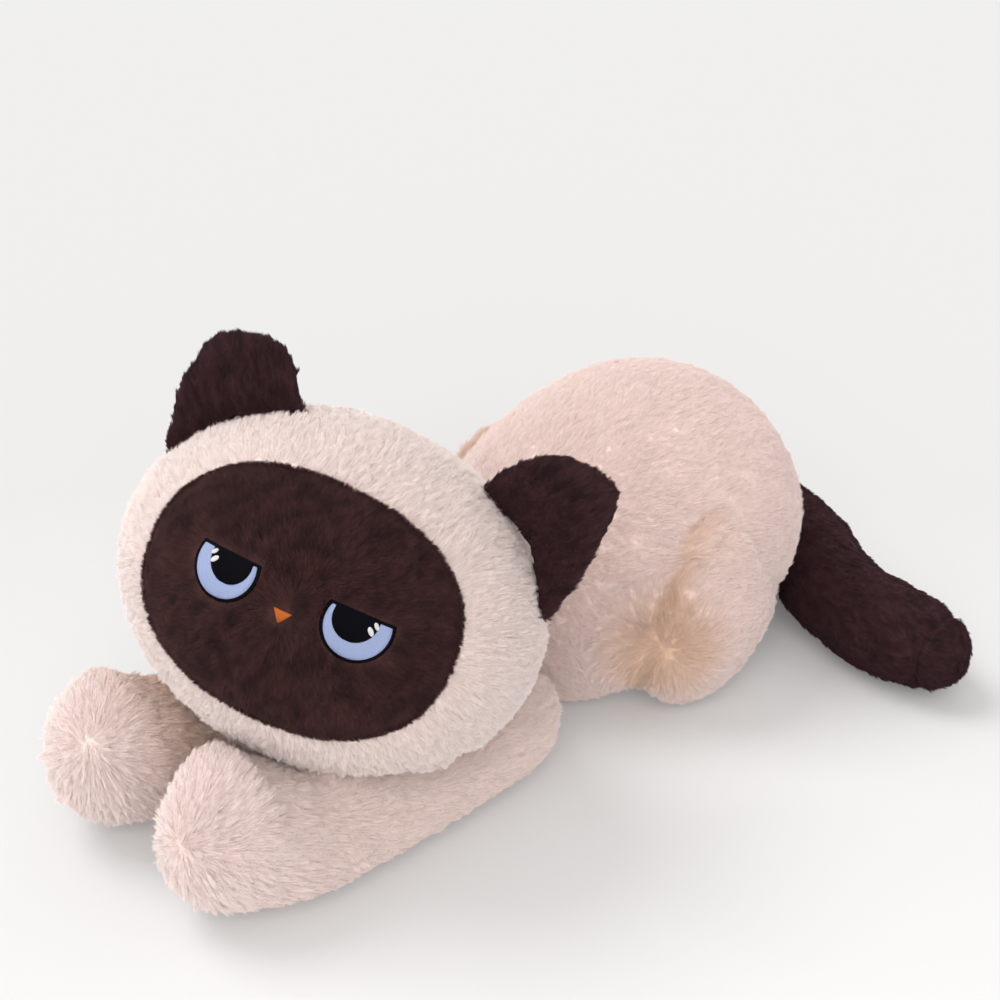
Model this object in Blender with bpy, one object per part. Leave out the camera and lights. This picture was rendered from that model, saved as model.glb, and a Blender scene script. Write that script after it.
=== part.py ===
"""A plush cat lying on its belly, modelled as the cut fabric panels, stuffing and embroidery it is sewn from.

Frame: metres, +Z up. The belly's flat rest face is on Z = 0 with the origin in it.
The cat faces -Y and its left side is +X.
"""
import math

import bmesh
import bpy
import numpy as np

# Cloth and seams
FABRIC = 0.0025          # thickness of a plush panel, backing and packed pile together
SEAM = 0.0005            # gap between two panels
PACKING = 0.0045         # depth of the stuffing under the panels' outer face
CLEAR = 0.0006           # gap between separately sewn limbs

# Torso: a pod along Y, pressed flat on the floor
TORSO_FRONT = -0.050
TORSO_BACK = 0.225
TORSO_LENGTH = TORSO_BACK - TORSO_FRONT
RUMP_HALF_WIDTH = 0.113
GUSSET_HALF_ANGLE = math.radians(42)
GUSSET_SPAN = (0.12, 0.86)
TORSO_ROWS = 20
SIDE_COLUMNS = 12
GUSSET_COLUMNS = 8
DOWN = -math.pi / 2
UP = np.array((0.0, 0.0, 1.0))

# Head: an ellipsoid turned, lifted and tilted, with its underside pressed flat on the forelegs
HEAD_CENTRE = np.array((0.009, -0.141, 0.137))
HEAD_RADII = np.array((0.1225, 0.1070, 0.0985))
HEAD_TURN = math.radians(37.3)
HEAD_LIFT = math.radians(25.8)
HEAD_TILT = math.radians(20.8)
HEAD_UNDERSIDE = 0.0625
HEAD_PACKING = 0.0085
NECK = (0.0, -0.075, 0.075)
FACE_HALF_WIDTH = 0.0808
FACE_HALF_HEIGHT = 0.0602
FACE_SQUARENESS = 2.3
SIDE_SEAM_ANGLE = math.radians(97)

# Eyes and nose, in the head's own x and z
EYE_X = 0.0345
EYE_Z = 0.0052
EYE_RADIUS = 0.0176
IRIS_RADIUS = 0.0159
PUPIL_RADIUS = 0.0112
PUPIL_RISE = 0.0031      # of its centre above the eye's
PUPIL_INWARD = 0.0020    # of its centre towards the nose
LID_HEIGHT = 0.39        # of the eye's radius, above its centre
LID_DROOP = math.radians(1)
THREAD = 0.00045         # thickness of one layer of satin stitch
LAYER = 0.0006           # step from one layer of stitch to the next
NOSE_Z = -0.0052
NOSE_HALF_WIDTH = 0.0048
NOSE_HEIGHT = 0.0062

# Ears, in the head's own x and z
EAR_PLANE_Y = -0.030
EAR_HALF_THICKNESS = 0.0085
EAR_BASE_ANGLES = (math.radians(66), math.radians(18))
EAR_BASE_CLEARANCE = 0.0036
EAR_EDGE = ((0.1185, 0.053), (0.1232, 0.074), (0.1246, 0.093), (0.1220, 0.1096), (0.1131, 0.1171),
            (0.0965, 0.1205), (0.0745, 0.1163))
RIGHT_EAR_LEAN = math.radians(1)    # towards the crown
RIGHT_EAR_REACH = 0.74              # of the left ear's

# Forelegs: a round root on the shoulder hinge, a stretch pressed down by the head, and a full paw
SHOULDER = (0.052, -0.066)
LEG_RADIUS = 0.0415
LEG_PRESSED_TOP = 0.058
PAW_LEFT = (0.0395, -0.238)
PAW_RIGHT = (-0.062, -0.243)
PAW_TOPS = (0.087, 0.096)       # left and right
WRIST_TOPS = (0.058, 0.070)     # the head presses only on the left one
PAW_REACH = 0.042

# Hind legs: half pods sewn on the torso's sides
HIND_WIDTHS = (0.032, 0.040, 0.036)
HIND_HEIGHTS = (0.053, 0.069, 0.070)

# Tail: from under the rump, along the floor, round to the cat's left
TAIL_ROOT = (0.0, 0.2420, 0.039)
TAIL_RADIUS = 0.035
TAIL_TIP = (0.1695, 0.1950)

CREAM = ((0.78, 0.63, 0.54), 0.95)
DARK = ((0.030, 0.016, 0.013), 0.95)
FILL = ((0.90, 0.90, 0.88), 1.0)
BLUE = ((0.20, 0.28, 0.62), 0.45)
BLACK = ((0.008, 0.008, 0.010), 0.45)
WHITE = ((0.92, 0.92, 0.92), 0.45)
ORANGE = ((0.42, 0.09, 0.015), 0.5)


def clear_scene():
    for item in list(bpy.data.objects):
        bpy.data.objects.remove(item, do_unlink=True)


def own_material(name, finish):
    colour, roughness = finish
    material = bpy.data.materials.new(name)
    material.use_nodes = True
    shader = material.node_tree.nodes["Principled BSDF"]
    shader.inputs["Base Color"].default_value = (*colour, 1.0)
    shader.inputs["Roughness"].default_value = roughness
    shader.inputs["Metallic"].default_value = 0.0
    material.diffuse_color = (*colour, 1.0)
    return material


def add_object(name, bm, finish, pivot=None):
    """Make an object of bm, whose vertices are in world space, with its origin at its pivot."""
    bmesh.ops.remove_doubles(bm, verts=bm.verts, dist=1e-6)
    bmesh.ops.recalc_face_normals(bm, faces=bm.faces)
    bmesh.ops.triangulate(bm, faces=bm.faces)
    origin = np.array(pivot.location) if pivot else np.zeros(3)
    bmesh.ops.translate(bm, verts=bm.verts, vec=-origin)
    mesh = bpy.data.meshes.new(name)
    bm.to_mesh(mesh)
    bm.free()
    mesh.shade_smooth()
    mesh.set_sharp_from_angle(angle=math.radians(50))
    mesh.materials.append(own_material(name + "_finish", finish))
    item = bpy.data.objects.new(name, mesh)
    item.parent = pivot
    bpy.context.collection.objects.link(item)
    return item


def add_pivot(name, place):
    pivot = bpy.data.objects.new(name, None)
    pivot.empty_display_size = 0.02
    pivot.location = place
    bpy.context.collection.objects.link(pivot)
    return pivot


def unit(vector):
    return vector / np.linalg.norm(vector)


def smooth(keys, t):
    """A smooth curve through (t, value) keys, as a chain of cubic pieces."""
    times = [key[0] for key in keys]
    values = [np.asarray(key[1], float) for key in keys]
    i = min(max(int(np.searchsorted(times, t)) - 1, 0), len(keys) - 2)
    slopes = []
    for j in (i, i + 1):
        before = max(j - 1, 0)
        after = min(j + 1, len(keys) - 1)
        slopes.append((values[after] - values[before]) / (times[after] - times[before]))
    span = times[i + 1] - times[i]
    u = (t - times[i]) / span
    start = (2 * u**3 - 3 * u**2 + 1) * values[i] + (u**3 - 2 * u**2 + u) * span * slopes[0]
    end = (3 * u**2 - 2 * u**3) * values[i + 1] + (u**3 - u**2) * span * slopes[1]
    return start + end


# Pods: stuffed tubes with round ends that lie on the floor

class Pod:
    """A stuffed tube: a centre line, a half width and a half height along it, and two round ends."""

    def __init__(self, path, half_width, half_height, roundness):
        self.path = path
        self.half_width = half_width
        self.half_height = half_height
        self.roundness = roundness

    def frame(self, t):
        centre = smooth(self.path, t)
        ahead = smooth(self.path, min(t + 0.01, 1.0))
        behind = smooth(self.path, max(t - 0.01, 0.0))
        side = unit(np.cross(ahead - behind, UP))
        return centre, side, UP

    def raw(self, t, angle):
        centre, side, up = self.frame(t)
        swell = math.sqrt(max(0.0, 1.0 - abs(2 * t - 1) ** self.roundness))
        across = side * (smooth(self.half_width, t) * swell * math.cos(angle))
        return centre + across + up * (smooth(self.half_height, t) * swell * math.sin(angle))

    def normal(self, t, angle):
        if t <= 0.0 or t >= 1.0:
            step = 0.01 if t <= 0.0 else -0.01
            return unit(smooth(self.path, t) - smooth(self.path, t + step))
        around = self.raw(t, angle + 0.01) - self.raw(t, angle - 0.01)
        along = self.raw(min(t + 0.002, 1.0), angle) - self.raw(max(t - 0.002, 0.0), angle)
        return unit(np.cross(along, around))

    def point(self, t, angle, inset=0.0, shift=(0.0, 0.0, 0.0)):
        place = self.raw(t, angle) - self.normal(t, angle) * inset + np.array(shift)
        place[2] = max(place[2], inset if inset > 0.0 else 0.0)
        return place


def pod_rows(count):
    """Fractions along a pod, close together at its round ends."""
    return [(1 - math.cos(math.pi * i / count)) / 2 for i in range(count + 1)]


def skin_faces(bm, grid, closed):
    """Faces over a grid of vertices. Rows may be a single vertex at a pole."""
    for low, high in zip(grid, grid[1:]):
        count = max(len(low), len(high))
        last = count if closed else count - 1
        for j in range(last):
            corners = []
            for row, k in ((low, j), (low, j + 1), (high, j + 1), (high, j)):
                vertex = row[k % len(row)] if len(row) > 1 else row[0]
                if vertex not in corners:
                    corners.append(vertex)
            if len(corners) > 2:
                bm.faces.new(corners)


def grid_vertices(bm, points):
    return [[bm.verts.new(place) for place in row] for row in points]


def rim(grid):
    """The vertices round an open grid's edge, in order."""
    left = [row[0] for row in grid]
    right = [row[-1] for row in grid]
    loop = left[:-1] + grid[-1][:-1] + right[:0:-1] + grid[0][::-1][:-1]
    ordered = []
    for vertex in loop:
        if vertex not in ordered:
            ordered.append(vertex)
    return ordered


def sheet_body(outer, inner):
    """A closed sheet between two open grids of points of the same size."""
    bm = bmesh.new()
    front = grid_vertices(bm, outer)
    back = grid_vertices(bm, inner)
    skin_faces(bm, front, closed=False)
    skin_faces(bm, back, closed=False)
    edge_front = rim(front)
    edge_back = rim(back)
    for i in range(len(edge_front)):
        j = (i + 1) % len(edge_front)
        bm.faces.new((edge_front[i], edge_front[j], edge_back[j], edge_back[i]))
    return bm


def solid_body(points):
    """A closed body over rows of points that run round it from pole to pole."""
    bm = bmesh.new()
    skin_faces(bm, grid_vertices(bm, points), closed=True)
    return bm


def ring_body(outer, inner):
    """A closed sheet between two grids that run all the way round."""
    bm = bmesh.new()
    front = grid_vertices(bm, outer)
    back = grid_vertices(bm, inner)
    skin_faces(bm, front, closed=True)
    skin_faces(bm, back, closed=True)
    for row in (0, -1):
        if len(front[row]) > 1:
            skin_faces(bm, [front[row], back[row]], closed=True)
    return bm


def pod_solid(pod, rows, columns, inset):
    points = []
    for t in pod_rows(rows):
        if t <= 0.0 or t >= 1.0:
            points.append([pod.point(t, 0.0, inset)])
            continue
        points.append([pod.point(t, 2 * math.pi * j / columns, inset) for j in range(columns)])
    return solid_body(points)


def pod_panel(pod, rows, columns, span, shift):
    """A panel of a pod from pole to pole, between the two angles that span gives at each t."""
    grids = []
    for inset in (0.0, FABRIC):
        points = []
        for t in pod_rows(rows):
            start, end = span(t)
            angles = [start + (end - start) * j / columns for j in range(columns + 1)]
            if t <= 0.0 or t >= 1.0:
                angles = [start]
            points.append([pod.point(t, angle, inset, shift) for angle in angles])
        grids.append(points)
    return sheet_body(*grids)


def stuffed_limb(name, pod, rows, columns, finish, pivot=None):
    """Upper and lower panels with a seam along both sides, and the stuffing inside them."""
    half_gap = SEAM / 2
    upper = pod_panel(pod, rows, columns, lambda t: (0.0, math.pi), (0.0, 0.0, half_gap))
    lower = pod_panel(pod, rows, columns, lambda t: (math.pi, 2 * math.pi), (0.0, 0.0, -half_gap))
    fill = pod_solid(pod, rows, 2 * columns, PACKING)
    return [
        add_object(name + "_upper_panel", upper, finish, pivot),
        add_object(name + "_lower_panel", lower, finish, pivot),
        add_object(name + "_stuffing", fill, FILL, pivot),
    ]


# Torso

def torso_pod():
    heights = ((0.0, 0.052), (0.15, 0.058), (0.25, 0.067), (0.5, 0.082), (0.8, 0.089), (1.0, 0.088))
    path = [(t, (0.0, TORSO_FRONT + t * TORSO_LENGTH, height)) for t, height in heights]
    width = RUMP_HALF_WIDTH
    half_width = ((0.0, 0.27 * width), (0.1, 0.50 * width), (0.25, 0.82 * width), (0.45, 0.96 * width),
                  (0.7, 1.02 * width), (0.85, 1.03 * width), (1.0, 1.0 * width))
    half_height = ((0.0, 0.058), (0.15, 0.078), (0.25, 0.084), (0.5, 0.091), (0.7, 0.097), (0.85, 0.101),
                   (1.0, 0.100))
    return Pod(path, half_width, half_height, 2.7)


def gusset_spread(t):
    """Half the angle that the belly gusset covers at t."""
    start, end = GUSSET_SPAN
    if t <= start or t >= end:
        return 0.0
    return GUSSET_HALF_ANGLE * math.sin(math.pi * (t - start) / (end - start)) ** 0.6


def belly_gusset(pod):
    """The panel between the side panels' lower edges, on the same rows as theirs."""
    grids = []
    for inset in (0.0, FABRIC):
        points = []
        for t in pod_rows(TORSO_ROWS):
            spread = gusset_spread(t) - 2 * SEAM / smooth(pod.half_width, t)
            if spread <= 0.0:
                continue
            angles = [DOWN + spread * (2 * j / GUSSET_COLUMNS - 1) for j in range(GUSSET_COLUMNS + 1)]
            points.append([pod.point(t, angle, inset) for angle in angles])
        grids.append(points)
    return sheet_body(*grids)


def left_side(t):
    return DOWN + gusset_spread(t), math.pi / 2


def right_side(t):
    return math.pi / 2, 3 * math.pi / 2 - gusset_spread(t)


def torso_solid(pod, inset):
    """The whole torso, on the same rows and angles as its three panels."""
    points = []
    for t in pod_rows(TORSO_ROWS):
        spans = ((*left_side(t), SIDE_COLUMNS), (*right_side(t), SIDE_COLUMNS),
                 (right_side(t)[1], left_side(t)[0] + 2 * math.pi, GUSSET_COLUMNS))
        ring = []
        for start, end, columns in spans:
            ring += [start + (end - start) * j / columns for j in range(columns)]
        if t <= 0.0 or t >= 1.0:
            ring = ring[:1]
        points.append([pod.point(t, angle, inset) for angle in ring])
    return points


def make_torso():
    # The side vector of a path along +Y points to +X, so small angles are on the cat's left.
    pod = torso_pod()
    left = pod_panel(pod, TORSO_ROWS, SIDE_COLUMNS, left_side, (SEAM / 2, 0.0, 0.0))
    right = pod_panel(pod, TORSO_ROWS, SIDE_COLUMNS, right_side, (-SEAM / 2, 0.0, 0.0))
    add_object("torso_left_panel", left, CREAM)
    add_object("torso_right_panel", right, CREAM)
    add_object("belly_panel", belly_gusset(pod), CREAM)
    add_object("torso_stuffing", solid_body(torso_solid(pod, PACKING)), FILL)
    return pod


def make_hind_legs(torso):
    cutter = add_object("torso_cutter", solid_body(torso_solid(torso, -CLEAR)), CREAM)
    cutter.hide_render = True
    cutter.display_type = "WIRE"
    for name, side in (("hind_leg_left", 1), ("hind_leg_right", -1)):
        path = ((0.0, (side * 0.083, 0.030, 0.054)), (0.3, (side * 0.085, 0.065, 0.063)),
                (0.6, (side * 0.080, 0.105, 0.067)), (1.0, (side * 0.062, 0.180, 0.070)))
        stations = (0.0, 0.4, 1.0)
        pod = Pod(path, tuple(zip(stations, HIND_WIDTHS)), tuple(zip(stations, HIND_HEIGHTS)), 3.4)
        for piece in stuffed_limb(name, pod, 12, 8, CREAM):
            cut = piece.modifiers.new("torso side", "BOOLEAN")
            cut.operation = "DIFFERENCE"
            cut.solver = "EXACT"
            cut.object = cutter


# Forelegs and tail

def make_foreleg(name, side, paw, paw_top, wrist_top):
    shoulder = np.array((side * SHOULDER[0], SHOULDER[1], LEG_PRESSED_TOP / 2))
    paw_centre = np.array((*paw, paw_top / 2))
    forward = unit((paw_centre - shoulder) * np.array((1.0, 1.0, 0.0)))
    outward = np.array((side * 0.004, 0.0, 0.0))
    start = shoulder - forward * LEG_RADIUS
    elbow = shoulder * 0.52 + paw_centre * 0.48 + outward
    wrist = shoulder * 0.17 + paw_centre * 0.83 + outward * 0.55
    elbow[2] = LEG_PRESSED_TOP / 2
    wrist[2] = wrist_top / 2
    path = ((0.0, start), (0.17, shoulder), (0.5, elbow), (0.73, wrist), (0.85, paw_centre),
            (1.0, paw_centre + forward * PAW_REACH))
    pressed = LEG_PRESSED_TOP / 2 + 0.001
    wrist_height = wrist_top / 2 + 0.001
    full = paw_top / 2 + 0.001
    half_width = ((0.0, LEG_RADIUS), (0.5, LEG_RADIUS), (0.84, 1.09 * LEG_RADIUS), (1.0, 1.05 * LEG_RADIUS))
    half_height = ((0.0, pressed), (0.5, pressed), (0.73, wrist_height), (0.85, full), (1.0, full))
    pod = Pod(path, half_width, half_height, 6.2)
    pivot = add_pivot(name + "_hinge", (side * SHOULDER[0], SHOULDER[1], 0.0))
    stuffed_limb(name, pod, 16, 8, CREAM, pivot)


def make_tail():
    root = np.array(TAIL_ROOT)
    back = root + np.array((-0.022, -0.004, 0.0))
    path = ((0.0, back), (0.14, root), (0.33, (0.051, 0.2480, 0.037)), (0.52, (0.101, 0.2150, 0.033)),
            (0.68, (0.132, 0.2005, 0.032)), (0.85, (*TAIL_TIP, 0.031)),
            (1.0, (TAIL_TIP[0] + 0.051, TAIL_TIP[1] + 0.004, 0.031)))
    half_width = ((0.0, 0.026), (0.3, 0.0265), (0.6, 0.031), (0.87, TAIL_RADIUS), (1.0, TAIL_RADIUS))
    half_height = ((0.0, 0.031), (0.3, 0.032), (1.0, 0.034))
    pod = Pod(path, half_width, half_height, 7.0)
    pivot = add_pivot("tail_hinge", (root[0], root[1], 0.0))
    stuffed_limb("tail", pod, 16, 8, DARK, pivot)


# Head

def head_rotation():
    turn = np.array(((math.cos(HEAD_TURN), -math.sin(HEAD_TURN), 0),
                     (math.sin(HEAD_TURN), math.cos(HEAD_TURN), 0), (0, 0, 1)))
    lift = np.array(((1, 0, 0), (0, math.cos(HEAD_LIFT), math.sin(HEAD_LIFT)),
                     (0, -math.sin(HEAD_LIFT), math.cos(HEAD_LIFT))))
    tilt = np.array(((math.cos(HEAD_TILT), 0, math.sin(HEAD_TILT)), (0, 1, 0),
                     (-math.sin(HEAD_TILT), 0, math.cos(HEAD_TILT))))
    return turn @ lift @ tilt


HEAD_AXES = head_rotation()


def to_world(local):
    return HEAD_AXES @ np.asarray(local, float) + HEAD_CENTRE


def head_point(direction, inset=0.0, shift=(0.0, 0.0, 0.0)):
    """The head's surface in a unit direction of the head's own frame, inset along its normal."""
    direction = np.asarray(direction, float)
    normal = unit(direction / HEAD_RADII)
    place = to_world(HEAD_RADII * direction - normal * inset + np.array(shift))
    place[2] = max(place[2], HEAD_UNDERSIDE + max(inset, 0.0))
    return place


def polar(angle, around):
    """A direction at an angle from the head's forward axis."""
    return (math.sin(angle) * math.cos(around), -math.cos(angle), math.sin(angle) * math.sin(around))


def face_edge(around):
    """The angle and the turn of the dark face panel's edge."""
    power = 2 / FACE_SQUARENESS
    x = FACE_HALF_WIDTH * math.copysign(abs(math.cos(around)) ** power, math.cos(around))
    z = FACE_HALF_HEIGHT * math.copysign(abs(math.sin(around)) ** power, math.sin(around))
    x /= HEAD_RADII[0]
    z /= HEAD_RADII[2]
    return math.asin(math.hypot(x, z)), math.atan2(z, x)


def make_head_panels(pivot):
    columns = 36
    turns = [2 * math.pi * (j + 0.5) / columns for j in range(columns)]
    edge = [face_edge(turn) for turn in turns]
    gap = SEAM / HEAD_RADII[1]
    face = []
    front = []
    for inset in (0.0, FABRIC):
        rings = [[head_point((0.0, -1.0, 0.0), inset)]]
        for share in (0.3, 0.6, 0.82, 1.0):
            rings.append([head_point(polar(angle * share, around), inset) for angle, around in edge])
        face.append(rings)
        rings = []
        for share in (0.0, 0.2, 0.4, 0.6, 0.8, 1.0):
            ring = []
            for angle, around in edge:
                start = angle + gap
                ring.append(head_point(polar(start + (SIDE_SEAM_ANGLE - gap - start) * share, around), inset))
            rings.append(ring)
        front.append(rings)
    add_object("face_panel", ring_body(*face), DARK, pivot)
    add_object("head_front_panel", ring_body(*front), CREAM, pivot)
    for name, side in (("head_back_left_panel", 1), ("head_back_right_panel", -1)):
        grids = []
        for inset in (0.0, FABRIC):
            rows = []
            for share in (0.0, 1 / 6, 2 / 6, 3 / 6, 4 / 6, 5 / 6, 1.0):
                start = SIDE_SEAM_ANGLE + gap
                angle = start + (math.pi - start) * share
                turns = [math.pi / 2 - side * math.pi * j / 18 for j in range(19)]
                if share == 1.0:
                    turns = turns[:1]
                shift = (side * SEAM / 2, 0.0, 0.0)
                rows.append([head_point(polar(angle, turn), inset, shift) for turn in turns])
            grids.append(rows)
        add_object(name, sheet_body(*grids), CREAM, pivot)


def make_head_stuffing(pivot):
    rows = []
    for i in range(17):
        angle = math.pi * i / 16
        turns = [2 * math.pi * j / 28 for j in range(28)] if 0 < i < 16 else [0.0]
        rows.append([head_point(polar(angle, turn), HEAD_PACKING) for turn in turns])
    add_object("head_stuffing", solid_body(rows), FILL, pivot)


# Embroidery: thin plates that follow the face

def face_point(x, z, lift):
    share_x = x / HEAD_RADII[0]
    share_z = z / HEAD_RADII[2]
    direction = (share_x, -math.sqrt(1 - share_x**2 - share_z**2), share_z)
    return head_point(direction, -lift)


def stitched_patch(name, outline, layer, finish, pivot):
    """A plate of stitch inside an outline of (x, z) points, on the given layer above the face."""
    outline = np.array(outline)
    centre = outline.mean(axis=0)
    low = SEAM / 2 + layer * LAYER
    levels = []
    for lift in (low, low + THREAD):
        rings = [[face_point(*centre, lift)]]
        for share in (0.5, 1.0):
            rings.append([face_point(*(centre + (place - centre) * share), lift) for place in outline])
        levels.append(rings)
    add_object(name, ring_body(*levels), finish, pivot)


def lidded_disc(radius, lid, droop, count):
    """A disc with its top cut off straight at the height lid, as an outline of (x, z) points."""
    start = math.pi - math.asin(lid / radius)
    sweep = math.pi + 2 * math.asin(lid / radius)
    points = []
    for i in range(count + 1):
        angle = start + sweep * i / count
        points.append((radius * math.cos(angle), radius * math.sin(angle)))
    left, right = np.array(points[0]), np.array(points[-1])
    points += [tuple(right + (left - right) * share) for share in (0.25, 0.5, 0.75)]
    turn = np.array(((math.cos(droop), -math.sin(droop)), (math.sin(droop), math.cos(droop))))
    return [turn @ np.array(place) for place in points]


def make_eye(label, side, pivot):
    centre = np.array((side * EYE_X, EYE_Z))
    droop = -side * LID_DROOP
    lid = LID_HEIGHT * EYE_RADIUS
    outline = [centre + place for place in lidded_disc(EYE_RADIUS, lid, droop, 20)]
    iris = [centre + place for place in lidded_disc(IRIS_RADIUS, lid - 0.0012, droop, 18)]
    inward = np.array((-side * PUPIL_INWARD, PUPIL_RISE))
    cut = lid - 0.0018 - PUPIL_RISE
    pupil = [centre + inward + place for place in lidded_disc(PUPIL_RADIUS, cut, droop, 14)]
    stitched_patch("eye_%s_outline" % label, outline, 0, BLACK, pivot)
    stitched_patch("eye_%s_iris" % label, iris, 1, BLUE, pivot)
    stitched_patch("eye_%s_pupil" % label, pupil, 2, BLACK, pivot)
    for end, across, rise in (("upper", 0.0078, 0.0035), ("lower", 0.0062, 0.0003)):
        middle = centre + np.array((side * across, rise))
        stroke = []
        for i in range(10):
            turn = 2 * math.pi * i / 10
            stroke.append(middle + np.array((0.0010 * math.cos(turn) - side * 0.0012 * math.sin(turn),
                                             0.0016 * math.sin(turn))))
        stitched_patch("eye_%s_highlight_%s" % (label, end), stroke, 3, WHITE, pivot)


def make_nose(pivot):
    corners = np.array(((-NOSE_HALF_WIDTH, NOSE_Z + NOSE_HEIGHT * 0.45), (0.0, NOSE_Z - NOSE_HEIGHT * 0.55),
                        (NOSE_HALF_WIDTH, NOSE_Z + NOSE_HEIGHT * 0.45)))
    outline = []
    for i in range(3):
        start, end = corners[i], corners[(i + 1) % 3]
        outline += [start + (end - start) * share for share in (0.12, 0.5, 0.88)]
    stitched_patch("nose_embroidery", outline, 0, ORANGE, pivot)


# Ears: flat pillows whose base edge follows the head

def ear_outline(side):
    """The ear's outline in x and z, eight points of its base first."""
    lean = RIGHT_EAR_LEAN if side < 0 else 0.0
    reach = RIGHT_EAR_REACH if side < 0 else 1.0
    share = math.sqrt(1 - (EAR_PLANE_Y / HEAD_RADII[1]) ** 2)
    wide = HEAD_RADII[0] * share + EAR_BASE_CLEARANCE
    high = HEAD_RADII[2] * share + EAR_BASE_CLEARANCE
    inner, outer = EAR_BASE_ANGLES
    base = []
    for i in range(8):
        angle = lean + inner + (outer - inner) * i / 7
        base.append(np.array((wide * math.cos(angle), high * math.sin(angle))))
    along = unit(base[-1] - base[0])
    out = np.array((-along[1], along[0]))
    middle = (base[0] + base[-1]) / 2
    turn = np.array(((math.cos(lean), -math.sin(lean)), (math.sin(lean), math.cos(lean))))
    keys = [base[-1]]
    for place in EAR_EDGE:
        arm = turn @ np.array(place) - middle
        keys.append(middle + along * (arm @ along) + out * (arm @ out) * reach)
    keys.append(base[0])
    keys = [(i / (len(keys) - 1), key) for i, key in enumerate(keys)]
    edge = [tuple(smooth(keys, i / 16)) for i in range(1, 16)]
    return np.array([(side * x, z) for x, z in base + edge])


def ear_layer(outline, front, inset, gap, shares):
    """Rings of one face of the ear's pillow, from its middle out to its edge."""
    centre = outline.mean(axis=0)
    rings = []
    for share in shares:
        ring = []
        bulge = gap + (EAR_HALF_THICKNESS - inset) * math.sqrt(1 - share**2)
        for place in outline:
            arm = place - centre
            arm = arm * (1 - inset / np.linalg.norm(arm)) * share
            x, z = centre + arm
            ring.append(to_world((x, EAR_PLANE_Y - front * bulge, z)))
        rings.append(ring[:1] if share == 0.0 else ring)
    return rings


def make_ear(label, side):
    outline = ear_outline(side)
    inner, outer = outline[0], outline[7]
    middle = (inner + outer) / 2
    pivot = add_pivot("ear_%s_hinge" % label, to_world((middle[0], EAR_PLANE_Y, middle[1])))
    shares = (0.0, 0.45, 0.75, 0.92, 1.0)
    for face, front in (("front", 1), ("back", -1)):
        outer_face = ear_layer(outline, front, 0.0, SEAM / 2, shares)
        inner_face = ear_layer(outline, front, FABRIC, SEAM / 2, shares)
        sheet = ring_body(outer_face, inner_face)
        add_object("ear_%s_%s_panel" % (label, face), sheet, DARK, pivot)
    rows = ear_layer(outline, 1, PACKING, 0.0, (0.0, 0.5, 0.85, 1.0))
    rows += ear_layer(outline, -1, PACKING, 0.0, (0.85, 0.5, 0.0))
    add_object("ear_%s_wadding" % label, solid_body(rows), FILL, pivot)


def main():
    clear_scene()
    torso = make_torso()
    make_hind_legs(torso)
    make_foreleg("foreleg_left", 1, PAW_LEFT, PAW_TOPS[0], WRIST_TOPS[0])
    make_foreleg("foreleg_right", -1, PAW_RIGHT, PAW_TOPS[1], WRIST_TOPS[1])
    make_tail()
    neck = add_pivot("neck", NECK)
    make_head_panels(neck)
    make_head_stuffing(neck)
    for label, side in (("left", 1), ("right", -1)):
        make_eye(label, side, neck)
        make_ear(label, side)
    make_nose(neck)


main()
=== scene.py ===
"""The plush cat's looks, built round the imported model: simulated skins, fur, thread, studio and camera."""

import itertools
import math

import bmesh
import bpy
import numpy as np
from mathutils import Matrix, Vector
from mathutils.bvhtree import BVHTree


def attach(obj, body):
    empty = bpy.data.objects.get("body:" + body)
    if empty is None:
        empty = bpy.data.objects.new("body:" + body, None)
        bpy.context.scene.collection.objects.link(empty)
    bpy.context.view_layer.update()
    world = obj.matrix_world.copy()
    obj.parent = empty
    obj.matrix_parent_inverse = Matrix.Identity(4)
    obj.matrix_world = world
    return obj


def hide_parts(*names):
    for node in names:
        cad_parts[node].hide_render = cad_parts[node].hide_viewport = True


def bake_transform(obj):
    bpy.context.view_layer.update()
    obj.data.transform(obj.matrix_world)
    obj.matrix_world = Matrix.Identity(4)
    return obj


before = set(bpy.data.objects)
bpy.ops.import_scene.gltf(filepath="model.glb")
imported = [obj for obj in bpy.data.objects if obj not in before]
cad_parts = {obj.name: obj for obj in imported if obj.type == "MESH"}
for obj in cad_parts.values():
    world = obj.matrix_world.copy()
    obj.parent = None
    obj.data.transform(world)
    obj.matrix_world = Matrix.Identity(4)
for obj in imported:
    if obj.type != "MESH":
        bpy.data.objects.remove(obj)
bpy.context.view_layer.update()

# Skins
VOXEL = 0.005            # grid of the simulated skins
EAR_VOXEL = 0.003
PRESSURE = 4.0
SIMULATED_FRAMES = 20
PUFF_LIMIT = 0.0035      # furthest that the stuffing pushes a skin out
SEAM_WIDTH = 0.0012
SEAM_DEPTH = 0.0012
FLOOR_CLEARANCE = 0.0003
FACE_RECESS = 0.0035     # how far the head's skin steps back behind the face panel
WANDER = 0.35            # how much the fur's lie strays from its combing
WANDER_SIZE = 0.016
CHILDREN = 12            # strands that follow each combed one

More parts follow.
